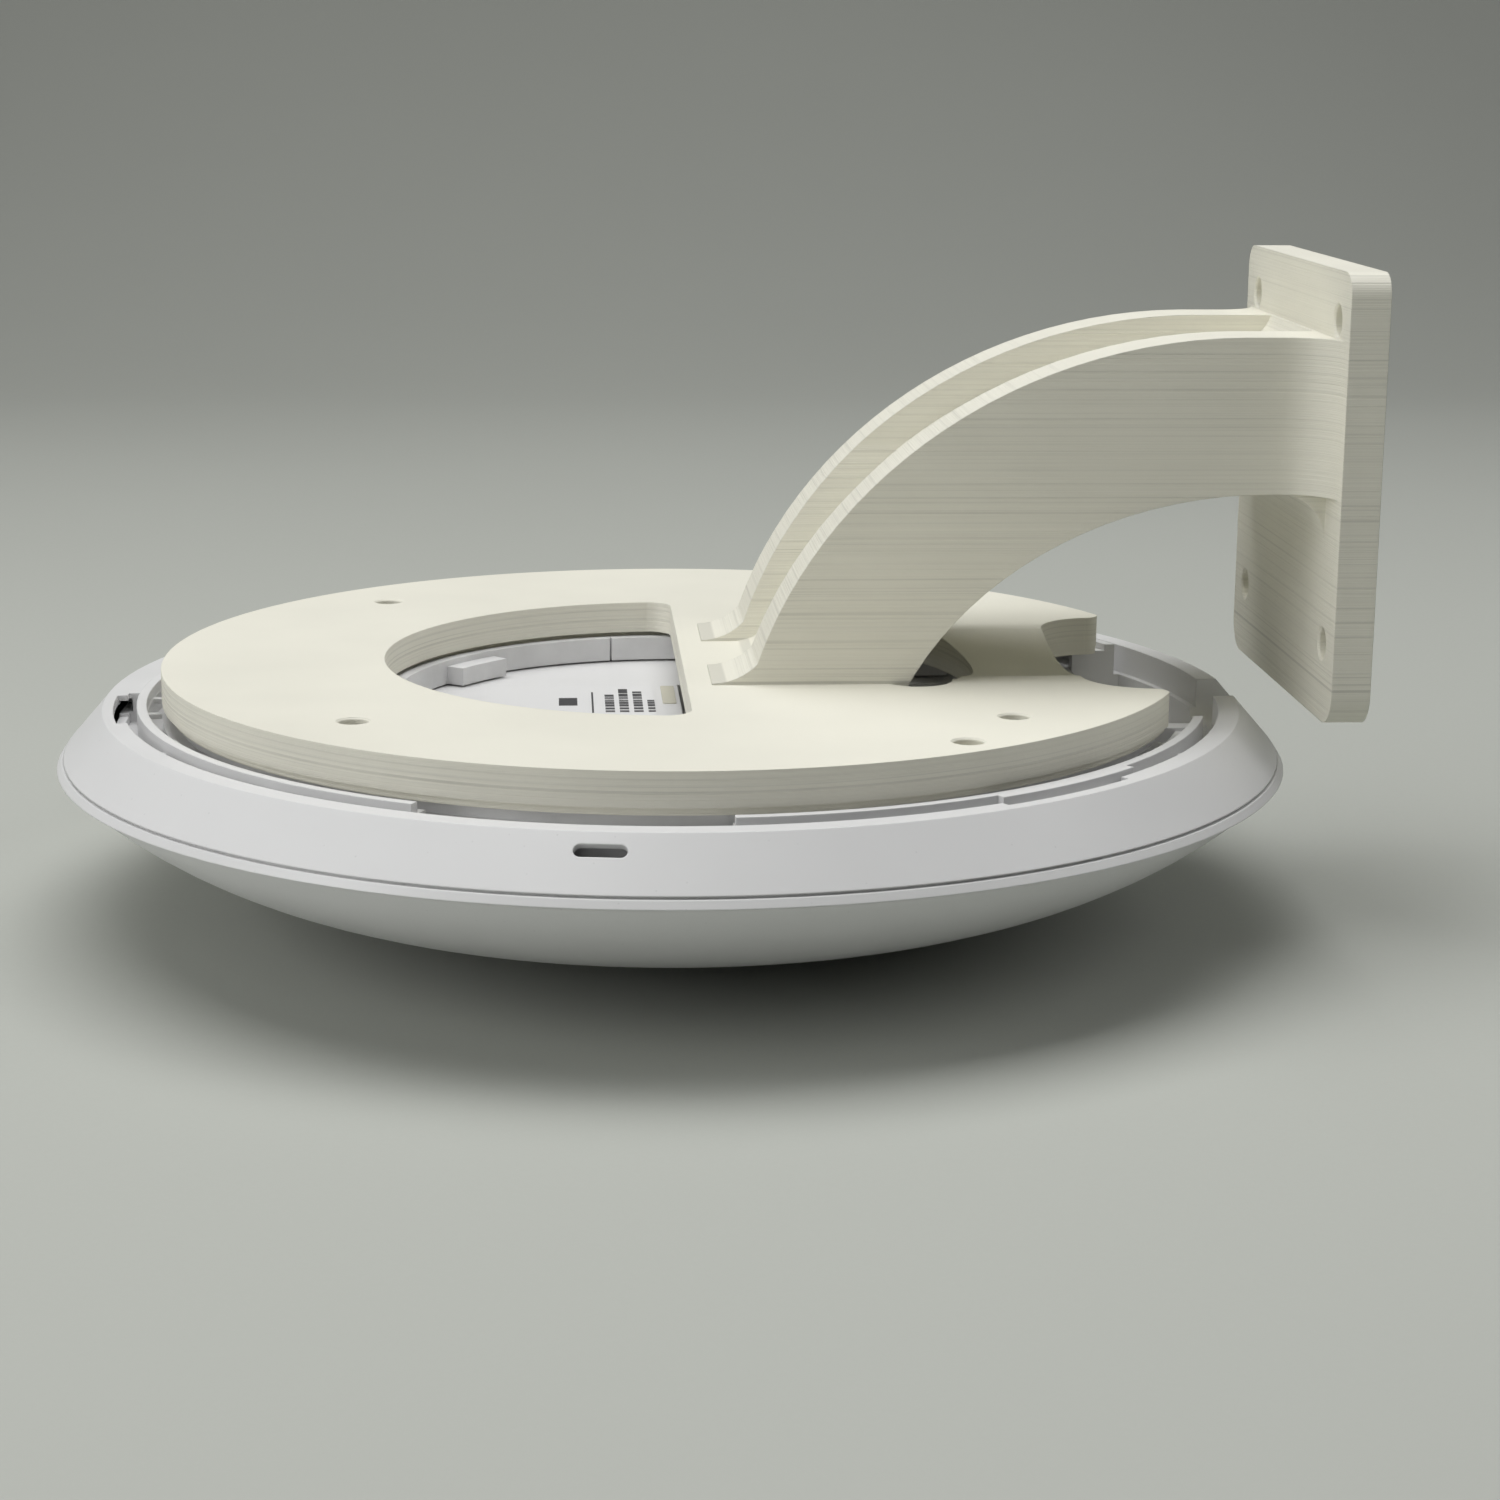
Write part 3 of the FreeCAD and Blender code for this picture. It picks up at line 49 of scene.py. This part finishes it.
class Paint:
    """A material's node tree. Every method returns the output socket of the node it adds."""

    def __init__(self, name):
        self.material = bpy.data.materials.new(name)
        self.material.use_nodes = True
        self.tree = self.material.node_tree
        self.tree.nodes.clear()
        output = self.tree.nodes.new("ShaderNodeOutputMaterial")
        self.shader = self.tree.nodes.new("ShaderNodeBsdfPrincipled")
        self.tree.links.new(self.shader.outputs[0], output.inputs[0])

    def feed(self, socket, value):
        """Links an output socket to an input, or sets the input to a plain value."""
        if isinstance(value, bpy.types.NodeSocket):
            self.tree.links.new(value, socket)
            return
        if socket.type == "RGBA" and len(value) == 3:
            value = (*value, 1.0)
        socket.default_value = value

    def set(self, **values):
        """Sets the shader's inputs. An underscore stands for a space."""
        for name, value in values.items():
            self.feed(self.shader.inputs[name.replace("_", " ")], value)
        return self

    def add(self, kind, settings=None, inputs=None, output=0):
        node = self.tree.nodes.new(kind)
        for name, value in (settings or {}).items():
            setattr(node, name, value)
        for name, value in (inputs or {}).items():
            self.feed(node.inputs[name], value)
        return node.outputs[output]

    def place(self, scale=(1.0, 1.0, 1.0), turn=(0.0, 0.0, 0.0)):
        """Object coordinates in metres, turned and then scaled."""
        here = self.add("ShaderNodeTexCoord", output=3)
        turned = self.add("ShaderNodeVectorRotate", {"rotation_type": "EULER_XYZ"},
                          {"Vector": here, "Rotation": turn})
        return self.add("ShaderNodeVectorMath", {"operation": "MULTIPLY"}, {0: turned, 1: scale})

    def noise(self, where, detail=4.0, rough=0.55, scale=1.0):
        return self.add("ShaderNodeTexNoise", None,
                        {"Vector": where, "Scale": scale, "Detail": detail, "Roughness": rough})

    def cells(self, where, feature="F1", output=0):
        return self.add("ShaderNodeTexVoronoi", {"feature": feature}, {"Vector": where, "Scale": 1.0},
                        output)

    def split(self, vector, axis):
        return self.add("ShaderNodeSeparateXYZ", None, {0: vector}, axis)

    def maths(self, operation, a, b=0.0, c=0.0):
        return self.add("ShaderNodeMath", {"operation": operation}, {0: a, 1: b, 2: c})

    def remap(self, value, low, high, to_low=0.0, to_high=1.0, smooth=False):
        kind = "SMOOTHSTEP" if smooth else "LINEAR"
        return self.add("ShaderNodeMapRange", {"interpolation_type": kind},
                        {0: value, 1: low, 2: high, 3: to_low, 4: to_high})

    def blend(self, amount, a, b, way="MIX"):
        node = self.tree.nodes.new("ShaderNodeMix")
        node.data_type = "RGBA"
        node.blend_type = way
        self.feed(node.inputs[0], amount)
        self.feed(node.inputs[6], a)
        self.feed(node.inputs[7], b)
        return node.outputs[2]

    def bump(self, height, depth, strength=1.0, normal=None):
        inputs = {"Height": height, "Distance": depth, "Strength": strength}
        if normal is not None:
            inputs["Normal"] = normal
        return self.add("ShaderNodeBump", None, inputs)

    def bevel(self, radius):
        return self.add("ShaderNodeBevel", {"samples": 6}, {"Radius": radius})

    def facing(self, axis):
        """How far the true surface faces along an axis, from -1 to 1."""
        return self.split(self.add("ShaderNodeNewGeometry", output=3), axis)

    def edges(self, radius):
        """1 on an edge and 0 on a flat face; it marks where a painted highlight lightens the colour."""
        rounded = self.bevel(radius)
        true = self.add("ShaderNodeNewGeometry", output=3)
        even = self.add("ShaderNodeVectorMath", {"operation": "DOT_PRODUCT"}, {0: rounded, 1: true}, 1)
        return self.remap(even, 0.995, 0.86, smooth=True)


def tint(colour, factor):
    return tuple(min(1.0, part * factor) for part in colour)


# --- Materials --------------------------------------------------------------------------------

def layer_scar(paint, here):
    """A thin level line across the wall plate where one printed layer stands proud."""
    height = paint.split(here, 2)
    away = paint.maths("ABSOLUTE", paint.maths("SUBTRACT", height, PLATE_SCAR_Z))
    return paint.remap(away, SCAR_CORE, SCAR_EDGE, 1.0, 0.0, True)


def printed_plastic():
    """Cream plastic printed in thin level layers, with darker and paler lines and raster tops."""
    paint = Paint("printed_plastic")
    cream = (0.87, 0.852, 0.745)
    layer = paint.noise(paint.place((3, 3, 5200)), 2.0, 0.5)
    band = paint.noise(paint.place((1.5, 1.5, 1500)), 5.0, 0.7)
    broad = paint.noise(paint.place((22, 22, 60)), 3.0, 0.5)
    patch = paint.remap(paint.noise(paint.place((30, 30, 45)), 2.0), 0.35, 0.7, 0.5, 1.0, True)
    level = paint.maths("ABSOLUTE", paint.facing(2))
    side = paint.remap(level, 0.98, 0.9, 0.0, 1.0, True)
    here = paint.place()
    on_plate = paint.remap(paint.split(here, 0), PLATE_FRONT, PLATE_FRONT + 0.4 * MM)
    line = paint.maths("MULTIPLY", paint.remap(band, 0.5, 0.68, 0.0, 1.0, True),
                       paint.maths("MAXIMUM", patch, on_plate))
    line = paint.maths("MULTIPLY", line, side)
    pale = paint.maths("MULTIPLY", paint.remap(band, 0.46, 0.3, 0.0, 1.0, True), side)
    raster_way = paint.place((700, 2400, 1), (0, 0, math.radians(45)))
    raster = paint.noise(raster_way, 1.0)
    colour = paint.blend(paint.remap(broad, 0.3, 0.7), tint(cream, 0.96), tint(cream, 1.03))
    colour = paint.blend(paint.maths("MULTIPLY", line, 0.75), colour, tint(cream, 0.70))
    colour = paint.blend(paint.maths("MULTIPLY", pale, 0.5), colour, tint(cream, 1.09))
    colour = paint.blend(paint.maths("MULTIPLY", layer_scar(paint, here), 0.6), colour, tint(cream, 0.66))
    # Painted highlight: the colour is lightened along edges to stand for the light they catch.
    highlit_edge = paint.maths("MULTIPLY", paint.edges(0.5 * MM), 0.35)
    colour = paint.blend(highlit_edge, colour, tint(cream, 1.12))
    ridges = paint.maths("MULTIPLY", paint.maths("ADD", layer, paint.maths("MULTIPLY", band, 2.2)), side)
    flats = paint.maths("MULTIPLY", raster, paint.maths("SUBTRACT", 1.0, side))
    height = paint.maths("ADD", ridges, paint.maths("MULTIPLY", flats, 0.35))
    normal = paint.bump(height, 0.13 * MM, 0.9, paint.bevel(0.35 * MM))
    rough = paint.remap(band, 0.3, 0.7, 0.5, 0.62)
    paint.set(Base_Color=colour, Roughness=rough, Normal=normal, Specular_IOR_Level=0.4)
    return paint.material


def white_plastic():
    """Satin white moulding with fine spark texture, faint cloudiness, dust and a few scuffs."""
    paint = Paint("white_plastic")
    white = (0.80, 0.80, 0.80)
    grain = paint.noise(paint.place((5200, 5200, 5200)), 2.0, 0.6)
    cloud = paint.noise(paint.place((14, 14, 14)), 3.0, 0.5)
    smear = paint.noise(paint.place((40, 40, 160)), 4.0, 0.6)
    dust = paint.remap(paint.cells(paint.place((300, 300, 300))), 0.07, 0.03, 0.0, 1.0)
    scuff = paint.noise(paint.place((420, 420, 90), (0.4, 0.2, 0.6)), 5.0, 0.75)
    scuffed = paint.remap(scuff, 0.72, 0.82, 0.0, 1.0, True)
    colour = paint.blend(paint.remap(cloud, 0.3, 0.7), tint(white, 0.975), tint(white, 1.02))
    colour = paint.blend(paint.maths("MULTIPLY", dust, 0.25), colour, tint(white, 0.6))
    colour = paint.blend(paint.maths("MULTIPLY", scuffed, 0.35), colour, tint(white, 0.72))
    # Painted highlight: the colour is lightened along edges to stand for the light they catch.
    highlit_edge = paint.maths("MULTIPLY", paint.edges(0.4 * MM), 0.3)
    colour = paint.blend(highlit_edge, colour, tint(white, 1.1))
    rough = paint.remap(smear, 0.3, 0.75, 0.30, 0.42)
    normal = paint.bump(grain, 0.012 * MM, 0.6, paint.bevel(0.35 * MM))
    paint.set(Base_Color=colour, Roughness=rough, Normal=normal, Specular_IOR_Level=0.5)
    return paint.material


def moulded(name, colour, roughness, grain=3500.0, depth=0.015, edge_highlight_gain=1.15):
    """A plain moulded, cast or coated finish: mottled colour, fine texture, painted highlights on the
    edges.
    """
    paint = Paint(name)
    mottle = paint.noise(paint.place((60, 60, 60)), 4.0, 0.6)
    fine = paint.noise(paint.place((grain, grain, grain)), 2.0, 0.6)
    shade = paint.blend(paint.remap(mottle, 0.3, 0.7), tint(colour, 0.9), tint(colour, 1.08))
    # Painted highlight: the colour is lightened along edges to stand for the light they catch.
    highlit_edge = paint.maths("MULTIPLY", paint.edges(0.25 * MM), 0.5)
    shade = paint.blend(highlit_edge, shade, tint(colour, edge_highlight_gain))
    rough = paint.remap(mottle, 0.3, 0.7, roughness - 0.06, roughness + 0.08)
    normal = paint.bump(fine, depth * MM, 0.7, paint.bevel(0.15 * MM))
    paint.set(Base_Color=shade, Roughness=rough, Normal=normal)
    return paint


def brushed(name, colour, roughness, stretch):
    """A metal with fine lines along one way, mottled plating and painted highlights on the edges."""
    paint = Paint(name)
    lines = paint.noise(paint.place(stretch), 3.0, 0.7)
    cloud = paint.noise(paint.place((90, 90, 90)), 4.0, 0.6)
    shade = paint.blend(paint.remap(cloud, 0.3, 0.7), tint(colour, 0.82), tint(colour, 1.06))
    # Painted highlight: the colour is lightened along edges to stand for the light they catch.
    shade = paint.blend(paint.maths("MULTIPLY", paint.edges(0.2 * MM), 0.6), shade, tint(colour, 1.25))
    rough = paint.remap(lines, 0.25, 0.75, roughness - 0.08, roughness + 0.12)
    normal = paint.bump(lines, 0.01 * MM, 0.5, paint.bevel(0.12 * MM))
    paint.set(Base_Color=shade, Roughness=rough, Normal=normal, Metallic=1.0)
    return paint


def circuit_board():
    """Green solder mask over copper tracks, with drilled vias."""
    paint = Paint("circuit_board")
    mask = (0.012, 0.105, 0.045)
    track = paint.cells(paint.place((420, 420, 1), (0, 0, math.radians(45))), "DISTANCE_TO_EDGE")
    copper = paint.remap(track, 0.05, 0.09, 1.0, 0.0, True)
    via = paint.remap(paint.cells(paint.place((260, 260, 1))), 0.10, 0.13, 1.0, 0.0)
    shade = paint.blend(copper, mask, tint(mask, 1.9))
    shade = paint.blend(via, shade, (0.55, 0.5, 0.38))
    weave = paint.noise(paint.place((900, 900, 900)), 3.0)
    raised = paint.maths("ADD", copper, paint.maths("MULTIPLY", weave, 0.2))
    normal = paint.bump(raised, 0.035 * MM, 0.7)
    rough = paint.remap(weave, 0.3, 0.7, 0.25, 0.38)
    paint.set(Base_Color=shade, Roughness=rough, Normal=normal, Coat_Weight=0.3)
    return paint.material


def box_mask(paint, x, y, spans):
    """1 inside a box of x and y, 0 outside. spans is ((x low, x high), (y low, y high)) in mm."""
    mask = 1.0
    for value, (low, high) in zip((x, y), spans):
        above = paint.maths("GREATER_THAN", value, low * MM)
        below = paint.maths("LESS_THAN", value, high * MM)
        mask = paint.maths("MULTIPLY", mask, paint.maths("MULTIPLY", above, below))
    return mask


def id_label():
    """White film printed with a blank badge, a rule and rows of meaningless dashes."""
    paint = Paint("label_film")
    film = (0.80, 0.80, 0.80)
    ink = (0.05, 0.05, 0.055)
    here = paint.add("ShaderNodeTexCoord", output=3)
    x = paint.maths("SUBTRACT", paint.split(here, 0), DISC_AXIS[0])
    y = paint.split(here, 1)
    badge = box_mask(paint, x, y, BADGE_SPANS)
    rule = box_mask(paint, x, y, RULE_SPANS)
    dash = paint.noise(paint.place((1, 1150, 1)), 1.0)
    marks = paint.maths("MAXIMUM", badge, rule)
    for row, reach in enumerate(DASH_ROWS):
        middle = DASH_START_X + DASH_PITCH * row
        across = (middle - DASH_HALF_HEIGHT, middle + DASH_HALF_HEIGHT)
        cell = box_mask(paint, x, y, (across, (DASH_START_Y, DASH_START_Y + reach)))
        broken = paint.maths("GREATER_THAN", dash, 0.4)
        marks = paint.maths("MAXIMUM", marks, paint.maths("MULTIPLY", cell, broken))
    grain = paint.noise(paint.place((2500, 2500, 2500)), 3.0)
    shade = paint.blend(paint.remap(grain, 0.3, 0.7), tint(film, 0.97), tint(film, 1.02))
    shade = paint.blend(marks, shade, ink)
    rough = paint.remap(grain, 0.3, 0.7, 0.42, 0.52)
    paint.set(Base_Color=shade, Roughness=rough, Normal=paint.bump(grain, 0.01 * MM, 0.5))
    return paint.material


def clear_part(name, colour, roughness, weight):
    paint = Paint(name)
    swirl = paint.noise(paint.place((400, 400, 400)), 3.0)
    shade = paint.blend(paint.remap(swirl, 0.3, 0.7), tint(colour, 0.95), colour)
    rough = paint.remap(swirl, 0.3, 0.7, roughness, roughness + 0.08)
    paint.set(Base_Color=shade, Roughness=rough, Normal=paint.bump(swirl, 0.01 * MM, 0.4))
    paint.set(Transmission_Weight=weight, IOR=1.49)
    return paint.material


def all_materials():
    """One material for each of the record's slots."""
    steel, tin, alloy = (0.56, 0.57, 0.58), (0.62, 0.62, 0.60), (0.64, 0.65, 0.66)
    gold, brass = (0.83, 0.60, 0.22), (0.72, 0.56, 0.26)
    made = {
        "printed_plastic": printed_plastic(),
        "white_plastic": white_plastic(),
        "plate_plastic": moulded("plate_plastic", (0.77, 0.77, 0.775), 0.42).material,
        "zinc_steel": brushed("zinc_steel", steel, 0.32, (1500, 1500, 500)).material,
        "aluminium": brushed("aluminium", alloy, 0.38, (300, 2600, 300)).material,
        "tin_steel": brushed("tin_steel", tin, 0.28, (400, 2200, 400)).material,
        "circuit_board": circuit_board(),
        "chip_black": moulded("chip_black", (0.018, 0.018, 0.02), 0.5, edge_highlight_gain=2.2).material,
        "thermal_pad": moulded("thermal_pad", (0.24, 0.33, 0.46), 0.75, 1800.0, 0.03).material,
        "ferrite": moulded("ferrite", (0.03, 0.03, 0.033), 0.6, 2200.0, 0.03, 2.0).material,
        "capacitor_can": brushed("capacitor_can", (0.72, 0.72, 0.73), 0.22, (900, 900, 3000)).material,
        "jack_plastic": moulded("jack_plastic", (0.015, 0.015, 0.016), 0.4, edge_highlight_gain=2.5).material,
        "contact_gold": brushed("contact_gold", gold, 0.2, (2600, 600, 2600)).material,
        "button_plastic": moulded("button_plastic", (0.06, 0.06, 0.065), 0.45, edge_highlight_gain=1.8).material,
        "led_lens": clear_part("led_lens", (0.90, 0.95, 1.0), 0.25, 0.5),
        "clear_plastic": clear_part("clear_plastic", (0.93, 0.96, 0.98), 0.06, 0.9),
        "antenna_metal": brushed("antenna_metal", brass, 0.3, (500, 2400, 500)).material,
        "label_film": id_label(),
        "sticker_film": moulded("sticker_film", (0.62, 0.60, 0.50), 0.55, 2400.0, 0.01, 1.03).material,
    }
    return made


def dress_nodes():
    """Gives every CAD node its slot's material."""
    made = all_materials()
    for part in frame["record"]["subparts"]:
        piece = frame["nodes"][part["node"]]
        for place in piece.material_slots:
            place.link = "OBJECT"
            place.material = made[part["material_slot"]]


# --- Stage, light and camera ------------------------------------------------------------------

FLOOR_HALF_WIDTH = 4.0
FLOOR_NEAR = -3.0
SWEEP_START = 0.9
SWEEP_RADIUS = 1.0
SWEEP_TOP = 3.0
SWEEP_STEPS = 24


def sweep_profile():
    """The floor's side view, as (y, z) points: level, then a quarter turn, then upright."""
    points = [(FLOOR_NEAR, FLOOR_Z), (SWEEP_START, FLOOR_Z)]
    for step in range(1, SWEEP_STEPS + 1):
        angle = 0.5 * math.pi * step / SWEEP_STEPS
        y = SWEEP_START + SWEEP_RADIUS * math.sin(angle)
        points.append((y, FLOOR_Z + SWEEP_RADIUS * (1 - math.cos(angle))))
    points.append((SWEEP_START + SWEEP_RADIUS, FLOOR_Z + SWEEP_TOP))
    return points


def floor_material():
    paint = Paint("studio_floor")
    pale = (0.50, 0.515, 0.475)
    cloud = paint.noise(paint.place((2, 2, 2)), 3.0)
    grain = paint.noise(paint.place((900, 900, 900)), 2.0)
    shade = paint.blend(paint.remap(cloud, 0.3, 0.7), tint(pale, 0.985), tint(pale, 1.015))
    rough = paint.remap(grain, 0.3, 0.7, 0.6, 0.7)
    paint.set(Base_Color=shade, Roughness=rough, Specular_IOR_Level=0.25)
    return paint.material


def make_floor():
    points = sweep_profile()
    vertices = []
    for y, z in points:
        vertices.append((-FLOOR_HALF_WIDTH, y, z))
        vertices.append((FLOOR_HALF_WIDTH, y, z))
    faces = []
    for step in range(len(points) - 1):
        first = 2 * step
        faces.append((first, first + 1, first + 3, first + 2))
    mesh = bpy.data.meshes.new("studio_floor")
    mesh.from_pydata(vertices, [], faces)
    for face in mesh.polygons:
        face.use_smooth = True
    mesh.materials.append(floor_material())
    floor = bpy.data.objects.new("studio_floor", mesh)
    bpy.context.scene.collection.objects.link(floor)


def soft_light(name, place, target, size, power):
    lamp = bpy.data.lights.new(name, "AREA")
    lamp.shape = "RECTANGLE"
    lamp.size, lamp.size_y = size
    lamp.energy = power
    light = bpy.data.objects.new(name, lamp)
    light.location = place
    aim = Vector(target) - Vector(place)
    light.rotation_euler = aim.to_track_quat("-Z", "Y").to_euler()
    bpy.context.scene.collection.objects.link(light)


DISC_CENTRE = (DISC_AXIS[0], 0.0, -0.03)
PLATE_MIDDLE = (0.0, 0.0, -0.01)
WORLD_COLOUR = (0.62, 0.64, 0.62, 1.0)
WORLD_STRENGTH = 0.04

# Name, place, what it points at, size in metres, watts
LIGHTS = (
    ("overhead", (-0.2, 0.12, 1.15), DISC_CENTRE, (1.4, 1.1), 15.5),
    ("left", (-1.3, -0.5, 0.5), DISC_CENTRE, (0.7, 0.7), 5.0),
    ("right", (1.1, -0.2, 0.75), DISC_CENTRE, (0.6, 0.8), 2.5),
    ("front_fill", (-0.2, -1.6, 0.8), DISC_CENTRE, (1.2, 0.8), 0.5),
    ("low_left", (-0.95, -0.6, 0.08), PLATE_MIDDLE, (0.4, 0.3), 0.6),
)


def make_lights():
    for light in LIGHTS:
        soft_light(*light)
    world = bpy.data.worlds.new("studio")
    world.use_nodes = True
    background = world.node_tree.nodes["Background"]
    background.inputs[0].default_value = WORLD_COLOUR
    background.inputs[1].default_value = WORLD_STRENGTH
    bpy.context.scene.world = world


CAMERA_PLACE = (-0.1537, -0.595, 0.0803)
CAMERA_YAW, CAMERA_PITCH, CAMERA_ROLL = 0.0647, -0.229, 0.007
CAMERA_LENS = 72.58
CAMERA_SENSOR = 36.0
CAMERA_NEAREST = 0.01


def make_camera():
    data = bpy.data.cameras.new("camera")
    data.sensor_width = CAMERA_SENSOR
    data.lens = CAMERA_LENS
    data.clip_start = CAMERA_NEAREST
    camera = bpy.data.objects.new("camera", data)
    turn = Matrix.Rotation(-CAMERA_YAW, 4, "Z") @ Matrix.Rotation(0.5 * math.pi + CAMERA_PITCH, 4, "X")
    turn = turn @ Matrix.Rotation(CAMERA_ROLL, 4, "Z")
    camera.matrix_world = Matrix.Translation(CAMERA_PLACE) @ turn
    bpy.context.scene.collection.objects.link(camera)
    bpy.context.scene.camera = camera


dress_nodes()
make_floor()
make_lights()
make_camera()
bpy.context.scene.view_settings.view_transform = "Standard"
